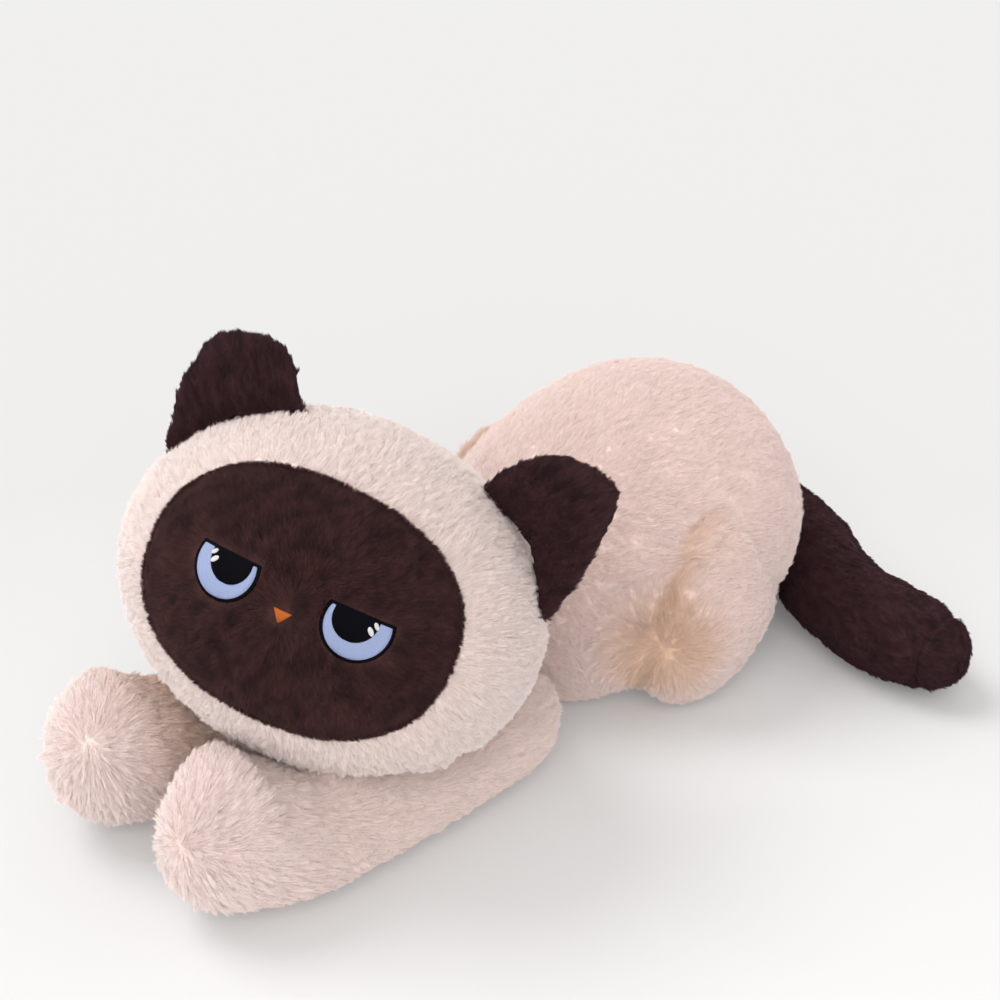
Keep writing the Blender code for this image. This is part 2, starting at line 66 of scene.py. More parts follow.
# The head's own frame: x to its left, y to its back, z up
HEAD_CENTRE = Vector((0.009, -0.141, 0.137))
HEAD_RADII = (0.1225, 0.1070, 0.0985)
HEAD_TURN, HEAD_LIFT, HEAD_TILT = (math.radians(angle) for angle in (37.3, 25.8, 20.8))
HEAD_FRAME = Matrix.Translation(HEAD_CENTRE) @ (
    Matrix.Rotation(HEAD_TURN, 4, "Z")
    @ Matrix.Rotation(-HEAD_LIFT, 4, "X")
    @ Matrix.Rotation(HEAD_TILT, 4, "Y")
)
HEAD_TURNED = np.array(HEAD_FRAME.to_3x3())
HEAD_BACK = HEAD_TURNED[:, 1]
FACE_HALF_WIDTH = 0.0808
FACE_HALF_HEIGHT = 0.0602
FACE_SQUARENESS = 2.3    # power of the face's outline: 2 is an ellipse
FACE_DOME = 0.0014       # how far the face stands over the head's skin
FACE_RIM_DROP = 0.0008   # how much less it does so at its rim
FACE_BACK = -0.0030      # where the dome is closed, inside the head
FACE_NAP = (1, 2, 3)
EYE_X = 0.0345
EYE_Z = 0.0052
EYE_RADIUS = 0.0176
IRIS_RADIUS = 0.0159
PUPIL_RADIUS = 0.0112
PUPIL_RISE = 0.0031      # of its centre above the eye's
PUPIL_INWARD = 0.0020    # of its centre towards the nose
LID_HEIGHT = 0.39        # of the eye's radius, above its centre
LID_DROOP = math.radians(1)
CHIN_DROP = 0.0040       # the chin settles on the forelegs
CHIN_TOP = 0.078         # world height under which it does
NOSE_Z = -0.0052
NOSE_HALF_WIDTH = 0.0048
NOSE_HEIGHT = 0.0062
STITCH_BORDER = 0.0009   # over which a patch of thread rounds off at its border
STITCH_BACK = 0.0012     # depth of its back, down in the pile
STROKE_HALF_LENGTH = 0.0019   # of a highlight of size 1
STROKE_HALF_WIDTH = 0.0010
STROKE_TURN = math.radians(-48)

# Ears
EAR_SINK = {"left": 0.007, "right": 0.014}    # how far the base runs down into the head's pile
EAR_TUCK = {"left": 0.017, "right": 0.001}    # how far back the head presses the base
EAR_BASES = {"left": (0.085, 0.062), "right": (0.084, 0.063)}    # x and z of the head's frame
EAR_TIPS = {"left": (0.117, 0.107), "right": (0.110, 0.098)}
EAR_PLANE = -0.030                            # its y

# Torso, legs and tail
NECK_CENTRE = (0.0, -0.060, 0.076)            # of the ball that fills the neck, under the head
NECK_RADII = (0.055, 0.042, 0.030)
TORSO_NAP = (0, 1, -0.25)
HIND_WHORL = (0.099, 0.035, 0.056)            # where the fur parts on a hind foot
CREASE_SHADE_WIDTH = 0.015                          # of the tan painted shade in the fold before the haunch
PAW_WHORLS = {"left": (0.043, -0.272, 0.058), "right": (-0.047, -0.268, 0.070)}
WRIST_RISE = {"left": 0.010, "right": 0.003}  # how far a wrist bulges up in front of the chin
WRIST_FRONT = -0.262                          # y where the bulge starts, behind the paw
WRIST_BACK = -0.185                           # y where it starts to fade
LEG_NAP = (0, -1, 0)
TAIL_NAP = (0.9, -0.4, 0)
TAIL_CAP_X = 0.196                            # where the round piece at the tail's tip is sewn on
TAIL_ROOT_RISE = 0.009
TAIL_SWELL_OUT = 0.006                        # of its middle, away from the body

# Dyes and painted shade, as linear colours
CREAM = (0.93, 0.81, 0.775)
# painted shade: the head's cream, darkened and warmed for the whole torso
SHADED_TORSO_CREAM = (0.90, 0.745, 0.70)
LEG_CREAM = (0.95, 0.81, 0.775)
# painted shade: tan laid in the fold before each haunch and on the forelegs behind the paws; the hind feet
# take it too
SHADE_TAN = (0.78, 0.56, 0.42)
BROWN = (0.068, 0.026, 0.026)
DARK_BROWN = (0.058, 0.022, 0.027)
BROWN_CREASE = (0.012, 0.006, 0.006)
BLOOM = (0.34, 0.17, 0.19)   # tint of the sheen on the dark pile
OUTLINE_THREAD = (0.004, 0.003, 0.005)
IRIS_THREAD = (0.34, 0.41, 0.64)
PUPIL_THREAD = (0.003, 0.003, 0.005)
WHITE_THREAD = (0.9, 0.9, 0.92)
ORANGE_THREAD = (0.62, 0.16, 0.03)

# Camera
CAMERA_PLACE = Vector((0.5669, -0.5715, 0.5550))
CAMERA_AIM = Vector((-0.0302, 0.0243, 0.1157))
SENSOR = 36.0
LENS = 54.0


# Meshes

def link(name, mesh):
    piece = bpy.data.objects.new(name, mesh)
    bpy.context.collection.objects.link(piece)
    return piece


def mesh_from(bm, name):
    """Turn bm into a mesh and free it."""
    mesh = bpy.data.meshes.new(name)
    bm.to_mesh(mesh)
    bm.free()
    return mesh


def points_of(piece):
    flat = np.zeros(len(piece.data.vertices) * 3)
    piece.data.vertices.foreach_get("co", flat)
    return flat.reshape(-1, 3)


def normals_of(piece):
    flat = np.zeros(len(piece.data.vertices) * 3)
    piece.data.vertex_normals.foreach_get("vector", flat)
    return flat.reshape(-1, 3)


def move_points(piece, points):
    piece.data.vertices.foreach_set("co", np.ascontiguousarray(points, np.float32).ravel())
    piece.data.update()


def apply_modifiers(piece):
    graph = bpy.context.evaluated_depsgraph_get()
    mesh = bpy.data.meshes.new_from_object(piece.evaluated_get(graph))
    piece.modifiers.clear()
    piece.data = mesh


def subdivide(piece, levels):
    modifier = piece.modifiers.new("subdivide", "SUBSURF")
    modifier.levels = levels
    modifier.render_levels = levels
    apply_modifiers(piece)


def ease(value):
    """From 0 to 1 without a corner."""
    value = np.clip(value, 0.0, 1.0)
    return value * value * (3 - 2 * value)


def grid_noise(points, seed=0.0):
    """Smooth noise from -1 to 1: scattered values on whole-number corners, blended between them."""
    corner = np.floor(points)
    share = ease(points - corner)
    total = np.zeros(len(points))
    for step in itertools.product((0.0, 1.0), repeat=3):
        weight = np.prod(np.where(step, share, 1 - share), axis=1)
        spread = np.sin((corner + step) @ (127.1, 311.7, 74.7) + seed) * 43758.5453
        total += weight * (spread - np.floor(spread))
    return 2 * total - 1


def add_swollen(bm, node, swell):
    """Add a CAD solid to bm with its surface moved out by swell."""
    solid = bmesh.new()
    solid.from_mesh(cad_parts[node].data)
    bmesh.ops.remove_doubles(solid, verts=solid.verts, dist=1e-5)
    solid.normal_update()
    for vertex in solid.verts:
        vertex.co += vertex.normal * swell
    mesh = mesh_from(solid, "swollen")
    bm.from_mesh(mesh)
    bpy.data.meshes.remove(mesh)


def add_ball(bm, centre, radii):
    place = Matrix.Translation(centre) @ Matrix.Diagonal((*radii, 1.0))
    bmesh.ops.create_icosphere(bm, subdivisions=4, radius=1.0, matrix=place)


def tree_of(mesh):
    return BVHTree.FromPolygons([v.co for v in mesh.vertices], [p.vertices for p in mesh.polygons])


def node_tree(node):
    return tree_of(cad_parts[node].data)


def reach_of(points, trees):
    """Distances from each point to some shapes, the nearest one first."""
    reach = np.array([[tree.find_nearest(Vector(point))[3] for tree in trees] for point in points])
    return np.sort(reach, axis=1)


def seam_share(points, trees):
    """1 on a seam, where two panels are equally near, falling to 0 inside a panel."""
    reach = reach_of(points, trees)
    return np.exp(-((reach[:, 1] - reach[:, 0]) / SEAM_WIDTH) ** 2)


def stuff(piece, seams):
    """Blow the skin up against its seams, as stuffing does."""
    rest = points_of(piece)
    group = piece.vertex_groups.new(name="sewn")
    for index in np.flatnonzero(seams > 0.05):
        group.add([int(index)], float(seams[index]), "REPLACE")
    cloth = piece.modifiers.new("stuffing", "CLOTH")
    cloth.settings.use_pressure = True
    cloth.settings.uniform_pressure_force = PRESSURE
    cloth.settings.effector_weights.gravity = 0.0
    cloth.settings.vertex_group_mass = group.name
    for step in range(1, SIMULATED_FRAMES + 1):
        bpy.context.scene.frame_set(step)
    graph = bpy.context.evaluated_depsgraph_get()
    blown = np.zeros(rest.size)
    piece.evaluated_get(graph).data.vertices.foreach_get("co", blown)
    move = blown.reshape(-1, 3) - rest
    far = np.linalg.norm(move, axis=1, keepdims=True)
    move *= PUFF_LIMIT * np.tanh(far / PUFF_LIMIT) / np.maximum(far, 1e-9)
    piece.modifiers.clear()
    piece.vertex_groups.clear()
    bpy.context.scene.frame_set(1)
    move_points(piece, rest + move)


def make_skin(name, solids, panels, voxel=VOXEL, shape=None):
    """A stuffed skin round some CAD solids, sewn where their panels meet."""
    bm = bmesh.new()
    for node, swell in solids:
        add_swollen(bm, node, swell)
    if shape:
        shape(bm)
    skin = link(name, mesh_from(bm, name))
    remesh = skin.modifiers.new("remesh", "REMESH")
    remesh.mode = "VOXEL"
    remesh.voxel_size = voxel
    apply_modifiers(skin)
    trees = [node_tree(panel) for panel in panels]
    stuff(skin, seam_share(points_of(skin), trees))
    subdivide(skin, 1)
    points = points_of(skin)
    seams = seam_share(points, trees)
    move_points(skin, points - normals_of(skin) * (seams * SEAM_DEPTH)[:, None])
    subdivide(skin, 1)
    return skin


def keep_above_floor(skin):
    points = points_of(skin)
    points[:, 2] = np.maximum(points[:, 2], FLOOR_CLEARANCE)
    move_points(skin, points)


def off_floor(points):
    """The pile's density: none where the skin lies on the floor, full a little above it."""
    return ease((points[:, 2] - 0.0005) / 0.004)


def across(direction):
    """A unit vector along a direction, and two across it."""
    along = Vector(direction).normalized()
    side = along.orthogonal().normalized()
    return np.array((side, along.cross(side), along))


def tuft(skin, nap, depth, width=0.0030, length=0.010, share=1.0):
    """Raise the lie of the fur: soft ridges along the nap, with smaller ones on them."""
    points = points_of(skin)
    turned = points @ across(nap).T
    height = grid_noise(turned / (width, width, length), 1.0)
    height += 0.5 * grid_noise(turned / (width / 2, width / 2, length / 2), 2.0)
    height += 0.6 * grid_noise(points / 0.014, 3.0)
    move_points(skin, points + normals_of(skin) * (height * depth * share)[:, None])


def mottle(points, nap):
    """How dark each spot of the dark pile looks, in locks drawn out along the nap."""
    turned = points @ across(nap).T
    locks = grid_noise(turned / (0.0030, 0.0030, 0.0075), 7.0)
    locks += 0.6 * grid_noise(turned / (0.0015, 0.0015, 0.0040), 8.0)
    return np.clip(0.34 + 0.55 * locks, 0, 0.9)


# Fur

def comb(skin, nap):
    """Write the fur's direction as a UV map whose V runs along the nap on each face."""
    mesh = skin.data
    layer = mesh.uv_layers.new(name="nap")
    mesh.uv_layers.active = layer
    faces = len(mesh.polygons)
    centres = np.zeros(faces * 3)
    normals = np.zeros(faces * 3)
    mesh.polygons.foreach_get("center", centres)
    mesh.polygons.foreach_get("normal", normals)
    centres = centres.reshape(-1, 3)
    normals = normals.reshape(-1, 3)
    along = nap(centres) if callable(nap) else np.tile(Vector(nap).normalized(), (faces, 1))
    along /= np.maximum(np.linalg.norm(along, axis=1, keepdims=True), 1e-6)
    wander = [grid_noise(centres / WANDER_SIZE, seed) for seed in (4.0, 5.0, 6.0)]
    along = along + WANDER * np.column_stack(wander)
    along = along - normals * np.sum(along * normals, axis=1, keepdims=True)
    along /= np.maximum(np.linalg.norm(along, axis=1, keepdims=True), 1e-6)
    side = np.cross(along, normals)
    totals = np.zeros(faces, int)
    mesh.polygons.foreach_get("loop_total", totals)
    corners = np.zeros(len(mesh.loops), int)
    mesh.loops.foreach_get("vertex_index", corners)
    face_of = np.repeat(np.arange(faces), totals)
    spots = points_of(skin)[corners]
    u = np.sum(spots * side[face_of], axis=1)
    v = np.sum(spots * along[face_of], axis=1)
    layer.data.foreach_set("uv", np.column_stack((u, v)).astype(np.float32).ravel() * 10)


def weight_group(skin, name, weights):
    group = skin.vertex_groups.new(name=name)
    steps = np.round(np.clip(weights, 0, 1) * 20).astype(int)
    for step in range(1, 21):
        chosen = np.flatnonzero(steps == step)
        if len(chosen):
            group.add(chosen.tolist(), step / 20, "REPLACE")
    return group.name


def grow_fur(skin, nap, material, strands, length, lift, density=None, lengths=None, seed=1, width=0.00019):
    """Strands of pile, combed along the nap and lifted from it by some degrees.

    They show in pictures and leave the mesh as it is.
    """
    comb(skin, nap)
    skin.data.materials.append(material)
    skin.modifiers.new("fur", "PARTICLE_SYSTEM")
    system = skin.particle_systems[-1]
    system.seed = seed
    if density is not None:
        system.vertex_group_density = weight_group(skin, "density", density)
    if lengths is not None:
        system.vertex_group_length = weight_group(skin, "length", lengths)
    fur = system.settings
    fur.type = "HAIR"
    fur.use_advanced_hair = True
    fur.count = strands // CHILDREN
    fur.hair_step = 3
    fur.emit_from = "FACE"
    fur.use_emit_random = True
    fur.use_even_distribution = True
    speed = length / 4       # Blender grows a hair four times as long as its speed
    fur.normal_factor = speed * math.sin(math.radians(lift))
    fur.tangent_factor = speed * math.cos(math.radians(lift))
    fur.tangent_phase = 1.0
    fur.factor_random = speed * 0.16
    fur.length_random = 0.30
    fur.child_type = "INTERPOLATED"
    fur.child_percent = 1
    fur.rendered_child_count = CHILDREN
    fur.child_length = 1.0
    fur.child_length_threshold = 0.2
    fur.clump_factor = 0.16
    fur.clump_shape = -0.1
    fur.roughness_1 = 0.0008
    fur.roughness_1_size = 0.010
    fur.roughness_2 = 0.0004
    fur.roughness_2_size = 0.008
    fur.roughness_endpoint = 0.0006
    fur.render_step = 2
    fur.root_radius = 1.0
    fur.tip_radius = 0.35
    fur.radius_scale = width
    fur.material = len(skin.data.materials)


# Materials

class Nodes:
    """A material's node tree, with short ways to add to it."""

    def __init__(self, name, roughness):
        self.material = bpy.data.materials.new(name)
        self.material.use_nodes = True
        self.tree = self.material.node_tree
        self.shader = self.tree.nodes["Principled BSDF"]
        self.shader.inputs["Roughness"].default_value = roughness

    def add(self, kind, **inputs):
        node = self.tree.nodes.new("ShaderNode" + kind)
        for socket, value in inputs.items():
            self.feed(value, node.inputs[socket.replace("_", " ")])
        return node

    def feed(self, value, socket):
        if isinstance(value, bpy.types.NodeSocket):
            self.tree.links.new(value, socket)
        else:
            socket.default_value = value

    def noise(self, vector, scale, detail=3.0, roughness=0.55):
        node = self.add("TexNoise", Scale=scale, Detail=detail, Roughness=roughness)
        self.feed(vector, node.inputs["Vector"])
        return node.outputs["Fac"]

    def along(self, nap, stretch):
        """Object coordinates squeezed along the nap, so that a pattern in them runs in streaks."""
        turn = Vector(nap).normalized().rotation_difference(Vector((0, 0, 1))).to_euler()
        place = self.add("TexCoord").outputs["Object"]
        node = self.add("Mapping", Vector=place, Rotation=turn, Scale=(1.0, 1.0, stretch))
        node.vector_type = "POINT"
        return node.outputs["Vector"]

    def ramp(self, value, *stops):
        node = self.add("ValToRGB", Fac=value)
        elements = node.color_ramp.elements
        for element, (place, colour) in zip(elements, stops):
            element.position = place
            element.color = (*colour, 1.0)
        for place, colour in stops[2:]:
            element = elements.new(place)
            element.color = (*colour, 1.0)
        return node.outputs["Color"]

    def mix(self, share, first, second, way="MIX"):
        node = self.tree.nodes.new("ShaderNodeMix")
        node.data_type = "RGBA"
        node.blend_type = way
        self.feed(share, node.inputs["Factor"])
        for value, socket in ((first, node.inputs[6]), (second, node.inputs[7])):
            self.feed(value, socket)
        return node.outputs[2]

    def bump(self, height, distance, strength=1.0):
        node = self.add("Bump", Height=height, Distance=distance, Strength=strength)
        self.feed(node.outputs["Normal"], self.shader.inputs["Normal"])


def scaled(colour, by):
    return tuple(min(channel * by, 1.0) for channel in colour)


def shade_and_lock_share(nodes):
    """How much of the second colour each spot takes, as painted on the skin: painted shade on the cream
    pieces, darker locks on the dark ones.
    """
    place = nodes.add("UVMap")
    place.uv_map = "tint"
    parts = nodes.add("SeparateXYZ", Vector=place.outputs["UV"])
    return parts.outputs["X"]


def plush(name, tone, crease, nap, sheen):
    """Backing and pile seen together: streaks along the nap in a slightly uneven dye."""
    nodes = Nodes(name, 0.9)
    place = nodes.along(nap, 0.3)
    streaks = nodes.noise(place, 520.0, 4.0)
    patches = nodes.noise(nodes.add("TexCoord").outputs["Object"], 28.0, 2.0)
    lie = nodes.ramp(streaks, (0.30, scaled(tone, 0.80)), (0.55, tone), (0.75, scaled(tone, 1.10)))
    wide = nodes.ramp(patches, (0.30, (0.88, 0.86, 0.84)), (0.70, (1.06, 1.06, 1.06)))
    colour = nodes.mix(1.0, lie, wide, "MULTIPLY")
    # painted shade on the cream pieces, darker locks on the dark ones
    colour = nodes.mix(shade_and_lock_share(nodes), colour, (*crease, 1.0))
    nodes.feed(colour, nodes.shader.inputs["Base Color"])
    nodes.shader.inputs["Sheen Weight"].default_value = sheen
    nodes.shader.inputs["Sheen Roughness"].default_value = 0.45
    nodes.shader.inputs["Specular IOR Level"].default_value = 0.2
    nodes.bump(streaks, 0.0012, 0.8)
    return nodes.material


def strand(name, tone, crease, sheen=0.5, gloss=0.25, bloom=(1.0, 1.0, 1.0), spread=0.10):
    """One dyed fibre, a little different from its neighbours, with painted shade darkening it towards the
    root.
    """
    nodes = Nodes(name, 0.6)
    hair = nodes.add("HairInfo")
    shades = (0.0, scaled(tone, 1 - spread)), (0.6, tone), (1.0, scaled(tone, 1 + spread))
    own = nodes.ramp(hair.outputs["Random"], *shades)
    # painted shade: darker and warmer towards the root, deep in the pile
    length = nodes.ramp(hair.outputs["Intercept"], (0.0, (0.80, 0.74, 0.70)), (0.6, (1.0, 1.0, 1.0)))
    colour = nodes.mix(1.0, own, length, "MULTIPLY")
    # painted shade on the cream pieces, darker locks on the dark ones
    colour = nodes.mix(shade_and_lock_share(nodes), colour, (*crease, 1.0))
    nodes.feed(colour, nodes.shader.inputs["Base Color"])
    nodes.shader.inputs["Specular IOR Level"].default_value = gloss
    nodes.shader.inputs["Sheen Weight"].default_value = sheen
    nodes.shader.inputs["Sheen Roughness"].default_value = 0.6
    nodes.shader.inputs["Sheen Tint"].default_value = (*bloom, 1.0)
    return nodes.material


def thread(name, tone, gloss=0.12):
    """Satin stitch: glossy threads side by side, each a little different, with painted shade in the grooves
    between them.
    """
    nodes = Nodes(name, 0.42)
    nodes.shader.inputs["Specular IOR Level"].default_value = gloss
    turned = nodes.add("TexCoord").outputs["UV"]
    lines = nodes.add("TexWave", Vector=turned, Scale=1.0, Distortion=0.6, Detail=1.0)
    fine = nodes.noise(turned, 3.0, 2.0)
    shades = (0.0, scaled(tone, 0.84)), (0.45, tone), (1.0, scaled(tone, 1.06))
    # painted shade: darker in the grooves between threads, where the bump is low, and a little lighter on
    # their crests
    colour = nodes.ramp(lines.outputs["Fac"], *shades)
    colour = nodes.mix(1.0, colour, nodes.ramp(fine, (0.3, (0.86,) * 3), (0.7, (1.0,) * 3)), "MULTIPLY")
    nodes.feed(colour, nodes.shader.inputs["Base Color"])
    nodes.bump(lines.outputs["Fac"], 0.00012)
    return nodes.material


def paint_shade_and_locks(skin, values):
    layer = skin.data.uv_layers.new(name="tint")
    corners = np.zeros(len(skin.data.loops), int)
    skin.data.loops.foreach_get("vertex_index", corners)
    pairs = np.column_stack((values[corners], values[corners]))
    layer.data.foreach_set("uv", pairs.astype(np.float32).ravel())


# Torso, with its hind legs and neck

def near_gap(points, trees, width):
    """1 where the second nearest of some shapes touches, falling to 0 at a width from it."""
    return 1 - ease(reach_of(points, trees)[:, 1] / width)


def foot_share(points):
    """1 at the whorl of either hind foot, falling to 0 over the foot."""
    reach = np.hypot(np.hypot(np.abs(points[:, 0]) - HIND_WHORL[0], points[:, 1] - HIND_WHORL[1]),
                     points[:, 2] - HIND_WHORL[2])
    return 1 - ease((reach - 0.010) / 0.038)


def soften(skin, weights, rounds):
    """Smooth the skin where weights are high."""
    group = weight_group(skin, "soften", weights)
    modifier = skin.modifiers.new("soften", "SMOOTH")
    modifier.factor = 0.6
    modifier.iterations = rounds
    modifier.vertex_group = group
    apply_modifiers(skin)
    skin.vertex_groups.clear()


def make_torso():
    solids = [("torso_stuffing", 0.0028)]
    solids += [(f"hind_leg_{side}_stuffing", 0.0030) for side in ("left", "right")]
    panels = ["torso_left_panel", "torso_right_panel", "belly_panel"]
    panels += [f"hind_leg_{side}_{half}_panel" for side in ("left", "right") for half in ("upper", "lower")]

    def neck(bm):
        add_ball(bm, NECK_CENTRE, NECK_RADII)

    skin = make_skin("torso_fur", solids, panels, shape=neck)
    points = points_of(skin)
    haunch = ease((points[:, 1] - 0.085) / 0.05) * ease((np.abs(points[:, 0]) - 0.04) / 0.03)
    soften(skin, haunch, 60)
    tuft(skin, TORSO_NAP, 0.0006)
    keep_above_floor(skin)
    points = points_of(skin)
    foot = foot_share(points)
    body = node_tree("torso_stuffing")
    legs = [node_tree(f"hind_leg_{side}_stuffing") for side in ("left", "right")]
    crease = np.maximum(*[near_gap(points, [body, leg], CREASE_SHADE_WIDTH) for leg in legs])
    before_haunch = ease((0.098 - points[:, 1]) / 0.03)
    crease *= before_haunch
    # painted shade: tan in the fold before each haunch; tan over each hind foot too
    paint_shade_and_locks(skin, np.clip(0.90 * crease + 0.82 * foot, 0, 1))
    skin.data.materials.append(plush("cream_torso_plush", SHADED_TORSO_CREAM, SHADE_TAN, TORSO_NAP, 0.25))
    lengths = 0.60 + 0.40 * np.maximum(crease, foot)

    def lie(centres):
        """Back and down along the body, and out of a whorl on each hind foot."""
        nap = np.tile(np.array(TORSO_NAP, float), (len(centres), 1))
        for side in (1, -1):
            arm = centres - np.array((side * HIND_WHORL[0], *HIND_WHORL[1:]))
            reach = np.linalg.norm(arm, axis=1, keepdims=True)
            share = 1 - ease((reach - 0.030) / 0.035)
            nap = nap * (1 - share) + share * arm / np.maximum(reach, 1e-4)
        return nap

    pile = strand("cream_torso_pile", SHADED_TORSO_CREAM, SHADE_TAN)
    grow_fur(skin, lie, pile, 420000, 0.0108, 14, off_floor(points), lengths)
    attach(skin, "torso")
    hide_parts("torso_stuffing", *[node for node, _ in solids], *panels)


# Head

def head_local(points):
    inverse = np.array(HEAD_FRAME.inverted())
    return points @ inverse[:3, :3].T + inverse[:3, 3]


def face_share(local):
    """Below 1 inside the dark face, 1 on its seam."""
    wide = np.abs(local[:, 0] / FACE_HALF_WIDTH) ** FACE_SQUARENESS
    high = np.abs(local[:, 2] / FACE_HALF_HEIGHT) ** FACE_SQUARENESS
    inside = (wide + high) ** (1 / FACE_SQUARENESS)
    return np.where(local[:, 1] < 0, inside, 9.0)


def surface_finder(skin):
    """Return a function that gives the head's skin in front of a point (x, z) of the head's own frame."""
    tree = tree_of(skin.data)
    turn = HEAD_FRAME.to_3x3()
    ahead = turn @ Vector((0, 1, 0))

    def find(x, z, lift=0.0):
        start = HEAD_FRAME @ Vector((x, -0.2, z))
        spot, _, _, _ = tree.ray_cast(start, ahead)
        wide, deep, high = HEAD_RADII
        depth = -math.sqrt(max(1 - (x / wide) ** 2 - (z / high) ** 2, 0.01)) / deep
        smooth = (turn @ Vector((x / wide**2, depth, z / high**2))).normalized()
        return spot + smooth * lift

    return find


def make_head():
    panels = ["face_panel", "head_front_panel", "head_back_left_panel", "head_back_right_panel"]
    skin = make_skin("head_fur", [("head_stuffing", 0.0040)], panels)
    points = points_of(skin)
    points[:, 2] -= CHIN_DROP * ease((CHIN_TOP - points[:, 2]) / 0.012)
    move_points(skin, points)
    find = surface_finder(skin)
    tuft(skin, HEAD_BACK, 0.0006)
    points = points_of(skin)
    share = face_share(head_local(points))
    points -= normals_of(skin) * (FACE_RECESS * ease((1.0 - share) / 0.06))[:, None]
    move_points(skin, points)
    paint_shade_and_locks(skin, np.zeros(len(points)))
    skin.data.materials.append(plush("cream_head_plush", CREAM, SHADE_TAN, HEAD_BACK, 0.25))
    density = ease((share - 1.0) / 0.02)
    lengths = 0.70 + 0.30 * ease((0.10 - points[:, 2]) / 0.03)
    pile = strand("cream_head_pile", CREAM, SHADE_TAN)
    grow_fur(skin, HEAD_BACK, pile, 380000, 0.0102, 15, density, lengths, seed=2)
    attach(skin, "head")
    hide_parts("head_stuffing", *panels[1:])
    return find


def eye_gap(local, side):
    """Distance from an eye's outline, negative inside it."""
    across_eye = local[:, 0] * side - EYE_X
    up = local[:, 2] - EYE_Z
    round_gap = np.hypot(across_eye, up) - EYE_RADIUS
    lid = up * math.cos(LID_DROOP) + across_eye * math.sin(LID_DROOP) - LID_HEIGHT * EYE_RADIUS
    return np.maximum(round_gap, lid)


def make_face(find):
    """A dome sewn into the head's front: a polar grid, its rim turned under into the seam."""
    rings, columns = 44, 176
    power = 2 / FACE_SQUARENESS

    def edge(turn):
        x = FACE_HALF_WIDTH * math.copysign(abs(math.cos(turn)) ** power, math.cos(turn))
        z = FACE_HALF_HEIGHT * math.copysign(abs(math.sin(turn)) ** power, math.sin(turn))
        return x, z

    bm = bmesh.new()
    edges = [edge(2 * math.pi * (j + 0.5) / columns) for j in range(columns)]

    def ring(share, lift):
        return [bm.verts.new(find(x * share, z * share, lift)) for x, z in edges]

    rows = []
    for i in range(1, rings + 1):
        share = i / rings
        rows.append(ring(share, FACE_DOME - FACE_RIM_DROP * share ** 16))
    rows.append(ring(0.992, FACE_BACK))
    rows.append(ring(0.5, FACE_BACK))
    for first, second in zip(rows, rows[1:]):
        for j in range(columns):
            bm.faces.new((first[j - 1], first[j], second[j], second[j - 1]))
    for row in (rows[0], rows[-1]):
        centre = bm.verts.new(sum((v.co for v in row), Vector()) / columns)
        for j in range(columns):
            bm.faces.new((row[j], row[j - 1], centre))
    bmesh.ops.recalc_face_normals(bm, faces=bm.faces)
    mesh = mesh_from(bm, "face_fur")
    mesh.shade_smooth()
    skin = link("face_fur", mesh)
    local = head_local(points_of(skin))
    eyes = np.minimum(eye_gap(local, 1), eye_gap(local, -1))
    nose = np.hypot(local[:, 0], local[:, 2] - NOSE_Z) - NOSE_HALF_WIDTH
    clear = np.minimum(eyes, nose)
    tuft(skin, FACE_NAP, 0.00035, 0.003, 0.004, ease(clear / 0.004))
    paint_shade_and_locks(skin, mottle(points_of(skin), FACE_NAP))
    skin.data.materials.append(plush("brown_face_plush", BROWN, BROWN_CREASE, FACE_NAP, 0.05))

    def outward(centres):
        flat = head_local(centres)
        flat[:, 1] = 0
        return flat @ HEAD_TURNED.T

    rim = face_share(local)
    density = ease((clear - 0.0002) / 0.001) * (local[:, 1] < -0.03) * (rim < 1.02)
    lengths = (0.20 + 0.80 * ease(clear / 0.008)) * (0.62 + 0.38 * ease((1.0 - rim) / 0.10))
    pile = strand("brown_face_pile", BROWN, BROWN_CREASE, 0.35, 0.12, BLOOM, 0.45)
    grow_fur(skin, outward, pile, 230000, 0.0062, 24, density, lengths, seed=3, width=0.00017)
    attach(skin, "head")
    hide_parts("face_panel")


# Embroidery

def stitched(name, half_width_at, low, high, place, lift, thickness, pitch, columns, material):
    """A closed patch of satin stitch: rows of thread across it, raised and rounded off at the border."""
    per_thread = 4
    rows = max(8, round((high - low) / pitch) * per_thread)
    bm = bmesh.new()
    uv = bm.loops.layers.uv.new("stitch")
    front, back = [], []
    for i in range(rows + 1):
        v = low + (high - low) * i / rows
        left, right = half_width_at(v)
        wave = abs(math.sin(math.pi * i / per_thread))
        top, under = [], []
        for j in range(columns + 1):
            u = left + (right - left) * j / columns
            inside = min(u - left, right - u, v - low, high - v)
            round_off = math.sqrt(max(0.0, 1 - (1 - min(inside / STITCH_BORDER, 1.0)) ** 2))
            height = lift + thickness * round_off * (0.85 + 0.15 * wave)
            top.append(bm.verts.new(place(u, v, height)))
            under.append(bm.verts.new(place(u, v, lift - STITCH_BACK)))
        front.append(top)
        back.append(under)
    for i in range(rows):
        for j in range(columns):
            for grid in (front, back):
                face = bm.faces.new((grid[i][j], grid[i][j + 1], grid[i + 1][j + 1], grid[i + 1][j]))
                for loop, (a, b) in zip(face.loops, ((i, j), (i, j + 1), (i + 1, j + 1), (i + 1, j))):
                    loop[uv].uv = (b * 0.5, a / per_thread)
    around = [(i, 0) for i in range(rows)] + [(rows, j) for j in range(columns)]
    around += [(rows - i, columns) for i in range(rows)] + [(0, columns - j) for j in range(columns)]
    for (a, b), (c, d) in zip(around, around[1:] + around[:1]):
        bm.faces.new((front[a][b], back[a][b], back[c][d], front[c][d]))
    bmesh.ops.remove_doubles(bm, verts=bm.verts, dist=1e-6)
    bmesh.ops.dissolve_degenerate(bm, edges=bm.edges, dist=1e-6)
    bmesh.ops.recalc_face_normals(bm, faces=bm.faces)
    mesh = mesh_from(bm, name)
    mesh.shade_smooth()
    mesh.materials.append(material)
    piece = link(name, mesh)
    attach(piece, "head")
    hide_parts(name)
    return piece


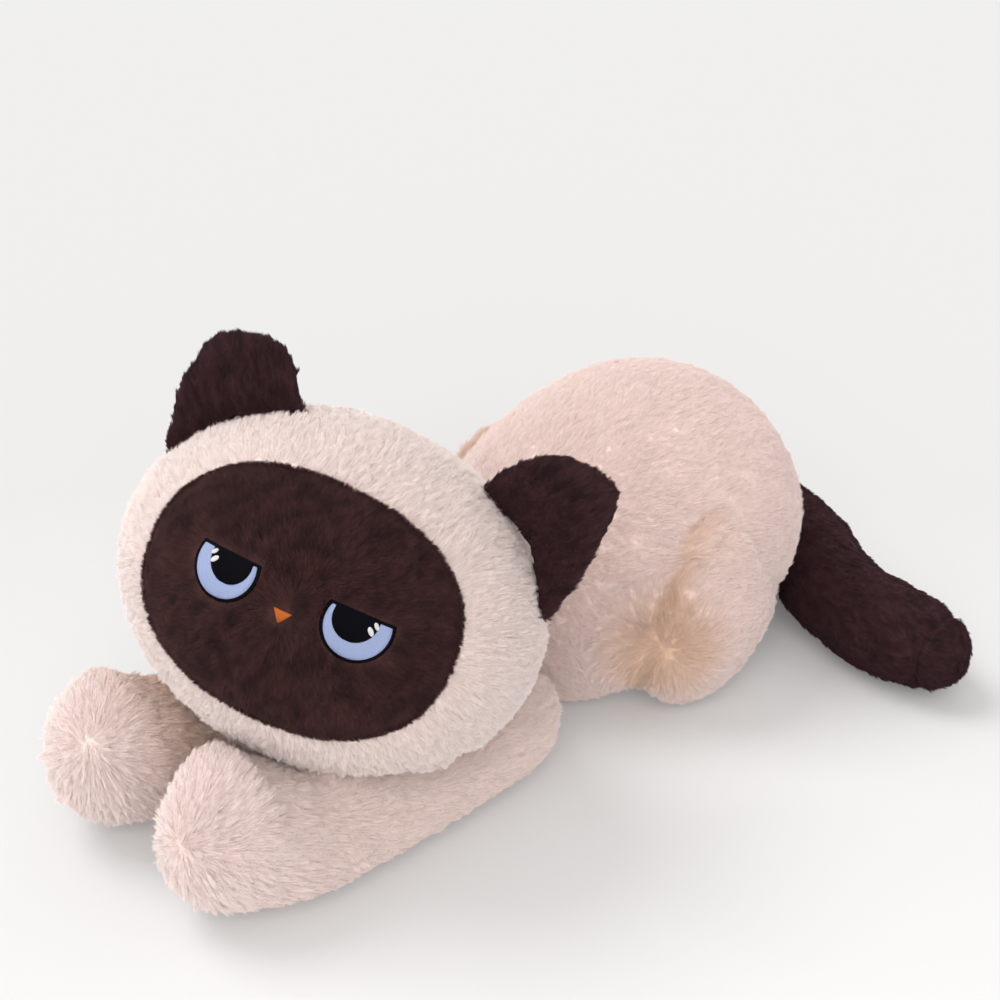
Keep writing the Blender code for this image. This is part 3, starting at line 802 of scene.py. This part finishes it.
def make_eye(name, side, find, finishes):
    droop = -LID_DROOP * side

    def place(u, v, lift):
        x = u * math.cos(droop) - v * math.sin(droop)
        z = u * math.sin(droop) + v * math.cos(droop)
        return find(side * EYE_X + x, EYE_Z + z, FACE_DOME + lift)

    lid = LID_HEIGHT * EYE_RADIUS

    def disc(part, radius, drop, lift, finish, inward=0.0, rise=0.0):
        def chord(v):
            half = math.sqrt(max(radius ** 2 - (v - rise) ** 2, 1e-9))
            return -side * inward - half, -side * inward + half

        low = rise - radius + 0.00002
        return stitched(f"{name}_{part}", chord, low, lid - drop, place, lift, 0.0006, 0.00055, 22, finish)

    outline = disc("outline", EYE_RADIUS, 0.0, 0.0001, finishes["outline"])
    iris = disc("iris", IRIS_RADIUS, 0.0015, 0.0006, finishes["iris"])
    pupil = disc("pupil", PUPIL_RADIUS, 0.0008, 0.0011, finishes["pupil"], PUPIL_INWARD, PUPIL_RISE)
    for part, centre_u, centre_v, size in (("highlight_upper", side * 0.0078, 0.0036, 1.05),
                                           ("highlight_lower", side * 0.0063, 0.0004, 1.25)):

        def stroke(u, v, lift):
            turn = STROKE_TURN * side
            long = u * math.cos(turn) - v * math.sin(turn)
            short = u * math.sin(turn) + v * math.cos(turn)
            return place(centre_u + long, centre_v + short, lift)

        def oval(v):
            half = STROKE_HALF_LENGTH * size * math.sqrt(max(1 - (v / (STROKE_HALF_WIDTH * size)) ** 2, 1e-4))
            return -half, half

        reach = STROKE_HALF_WIDTH * size
        piece = stitched(f"{name}_{part}", oval, -reach, reach, stroke, 0.0016, 0.0004, 0.0004, 10,
                         finishes["white"])


def make_nose(find, finish):
    def place(u, v, lift):
        return find(u, NOSE_Z + v, FACE_DOME + lift)

    def sides(v):
        share = (v + NOSE_HEIGHT / 2) / NOSE_HEIGHT
        half = NOSE_HALF_WIDTH * (0.04 + 0.96 * share ** 0.9)
        return -half, half

    reach = NOSE_HEIGHT / 2
    piece = stitched("nose_embroidery", sides, -reach, reach, place, 0.0004, 0.0012, 0.0005, 14, finish)


# Limbs, tail and ears

def pull_root(skin, towards, start, depth, reach):
    """Draw a limb's root into the body it is sewn to."""
    points = points_of(skin)
    along = np.array(Vector(towards).normalized())
    share = 1 - ease(((points - np.array(start)) @ -along) / reach)
    move_points(skin, points + along * (share * depth)[:, None])


def make_foreleg(side, tint, seed):
    name = f"foreleg_{side}"
    panels = [f"{name}_upper_panel", f"{name}_lower_panel"]
    skin = make_skin(f"{name}_fur", [(f"{name}_stuffing", 0.0018)], panels)
    whorl = np.array(PAW_WHORLS[side])

    def nap(centres):
        """Out of the whorl on the paw's end, then back along the leg."""
        return centres - whorl

    points = points_of(skin)
    wrist = ease((points[:, 1] - WRIST_FRONT) / 0.03) * (1 - ease((points[:, 1] - WRIST_BACK) / 0.05))
    points[:, 2] += WRIST_RISE[side] * wrist * ease((points[:, 2] - 0.015) / 0.04)
    move_points(skin, points)
    tuft(skin, LEG_NAP, 0.0006)
    inward = -0.3 if side == "left" else 0.3
    pull_root(skin, towards=(inward, 1, 0.2), start=(0, -0.030, 0.04), depth=0.010, reach=0.05)
    keep_above_floor(skin)
    points = points_of(skin)
    # painted shade: tan from behind the paw back along the leg, as much as tint says
    paint_shade_and_locks(skin, tint * ease((points[:, 1] + 0.264) / 0.05))
    skin.data.materials.append(plush(f"cream_{name}_plush", LEG_CREAM, SHADE_TAN, LEG_NAP, 0.25))
    pile = strand(f"cream_{name}_pile", LEG_CREAM, SHADE_TAN)
    grow_fur(skin, nap, pile, 210000, 0.0094, 14, off_floor(points), seed=seed)
    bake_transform(skin)
    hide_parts(f"{name}_stuffing", *panels)


def make_tail():
    panels = ["tail_upper_panel", "tail_lower_panel"]
    skin = make_skin("tail_fur", [("tail_stuffing", 0.0024)], panels)
    points = points_of(skin)
    points[:, 2] += TAIL_ROOT_RISE * (1 - ease((points[:, 0] - 0.010) / 0.045))
    middle = ease((points[:, 0] - 0.080) / 0.045) * (1 - ease((points[:, 0] - 0.180) / 0.05))
    points[:, 1] += TAIL_SWELL_OUT * middle
    cap = np.exp(-((points[:, 0] - TAIL_CAP_X) / 0.0022) ** 2)
    move_points(skin, points - normals_of(skin) * (0.0022 * cap)[:, None])
    tuft(skin, TAIL_NAP, 0.0006)
    pull_root(skin, towards=(0, -1, 0), start=(0, 0.227, 0.036), depth=0.012, reach=0.03)
    keep_above_floor(skin)
    points = points_of(skin)
    paint_shade_and_locks(skin, mottle(points, TAIL_NAP))
    skin.data.materials.append(plush("brown_tail_plush", DARK_BROWN, BROWN_CREASE, TAIL_NAP, 0.05))
    pile = strand("brown_tail_pile", DARK_BROWN, BROWN_CREASE, 0.35, 0.15, BLOOM, 0.45)
    grow_fur(skin, TAIL_NAP, pile, 170000, 0.0066, 14, off_floor(points), seed=7)
    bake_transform(skin)
    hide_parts("tail_stuffing", *panels)


def make_ear(side, sign, seed):
    name = f"ear_{side}"
    panels = [f"{name}_front_panel", f"{name}_back_panel"]
    skin = make_skin(f"{name}_fur", [(f"{name}_wadding", 0.0024)], panels, EAR_VOXEL)
    base_x, base_z = EAR_BASES[side]
    tip_x, tip_z = EAR_TIPS[side]
    base = HEAD_FRAME @ Vector((sign * base_x, EAR_PLANE, base_z))
    tip = HEAD_FRAME @ Vector((sign * tip_x, EAR_PLANE, tip_z))
    out = (tip - base).normalized()
    tuft(skin, out, 0.0004, 0.003, 0.008)
    points = points_of(skin)
    from_head = np.linalg.norm(head_local(points) / np.array(HEAD_RADII), axis=1) - 1
    share = 1 - ease(from_head / 0.17)
    tuck = 1 - ease(from_head / 0.32)
    sunk = points - np.array(out) * (share * EAR_SINK[side])[:, None]
    move_points(skin, sunk + HEAD_BACK * (tuck * EAR_TUCK[side])[:, None])
    paint_shade_and_locks(skin, mottle(points_of(skin), out))
    skin.data.materials.append(plush(f"brown_{name}_plush", DARK_BROWN, BROWN_CREASE, out, 0.05))
    pile = strand(f"brown_{name}_pile", DARK_BROWN, BROWN_CREASE, 0.35, 0.15, BLOOM, 0.45)
    grow_fur(skin, out, pile, 70000, 0.0058, 14, seed=seed, width=0.00018)
    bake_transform(skin)
    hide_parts(f"{name}_wadding", *panels)


# Studio

def add_light(name, energy, spread, towards, colour):
    """A broad light from far away, in the direction towards."""
    sun = bpy.data.lights.new(name, "SUN")
    sun.energy = energy
    sun.angle = math.radians(spread)
    sun.color = colour
    lamp = bpy.data.objects.new(name, sun)
    lamp.rotation_euler = Vector(towards).to_track_quat("Z", "Y").to_euler()
    bpy.context.collection.objects.link(lamp)


def make_floor():
    """Pale paper that glows: painted light, faint all over and strongest in a pool in front of the toy, which
    also lightens the shadows on it.
    """
    bm = bmesh.new()
    bmesh.ops.create_grid(bm, x_segments=1, y_segments=1, size=6.0)
    floor = link("floor", mesh_from(bm, "floor"))
    nodes = Nodes("paper", 0.9)
    grain = nodes.noise(nodes.add("TexCoord").outputs["Object"], 900.0, 2.0)
    paper = nodes.ramp(grain, (0.0, (0.61, 0.61, 0.61)), (1.0, (0.63, 0.63, 0.63)))
    nodes.feed(paper, nodes.shader.inputs["Base Color"])
    place = nodes.add("Mapping", Vector=nodes.add("TexCoord").outputs["Object"], Location=(-0.44, 0.44, 0.0),
                      Scale=(1.1, 1.1, 1.0))
    pool = nodes.add("TexGradient", Vector=place.outputs["Vector"])
    pool.gradient_type = "SPHERICAL"
    # painted light: the paper's emission, brightest in the pool in front of the toy
    glow = nodes.ramp(pool.outputs["Fac"], (0.0, (0.05, 0.05, 0.05)), (1.0, (0.25, 0.25, 0.25)))
    nodes.feed(glow, nodes.shader.inputs["Emission Color"])
    nodes.shader.inputs["Emission Strength"].default_value = 1.0
    nodes.shader.inputs["Specular IOR Level"].default_value = 0.0
    floor.data.materials.append(nodes.material)


def light_studio():
    world = bpy.data.worlds.new("studio")
    world.use_nodes = True
    background = world.node_tree.nodes["Background"]
    background.inputs["Color"].default_value = (1.0, 0.985, 0.975, 1.0)
    background.inputs["Strength"].default_value = 0.74
    bpy.context.scene.world = world
    add_light("key", 1.30, 34, (-0.60, -0.25, 0.95), (0.97, 0.99, 1.0))
    add_light("fill", 1.40, 55, (0.55, -0.65, 0.60), (1.0, 0.97, 0.95))


def place_camera():
    camera = bpy.data.cameras.new("camera")
    camera.sensor_width = SENSOR
    camera.lens = LENS
    eye = bpy.data.objects.new("camera", camera)
    eye.location = CAMERA_PLACE
    eye.rotation_euler = (CAMERA_AIM - CAMERA_PLACE).to_track_quat("-Z", "Y").to_euler()
    bpy.context.collection.objects.link(eye)
    bpy.context.scene.camera = eye
    bpy.context.scene.view_settings.view_transform = "Standard"


def build():
    make_floor()
    light_studio()
    place_camera()
    make_torso()
    find = make_head()
    make_face(find)
    finishes = {
        "outline": thread("black_outline_thread", OUTLINE_THREAD, 0.04),
        "iris": thread("blue_thread", IRIS_THREAD),
        "pupil": thread("black_pupil_thread", PUPIL_THREAD, 0.03),
        "white": thread("white_thread", WHITE_THREAD),
    }
    make_eye("eye_left", 1, find, finishes)
    make_eye("eye_right", -1, find, finishes)
    make_nose(find, thread("orange_thread", ORANGE_THREAD))
    # painted shade: the far (right) foreleg lies under the head and takes much tan, the near one little
    make_foreleg("left", 0.12, 4)
    make_foreleg("right", 0.75, 5)
    make_tail()
    make_ear("left", 1, 8)
    make_ear("right", -1, 9)


build()
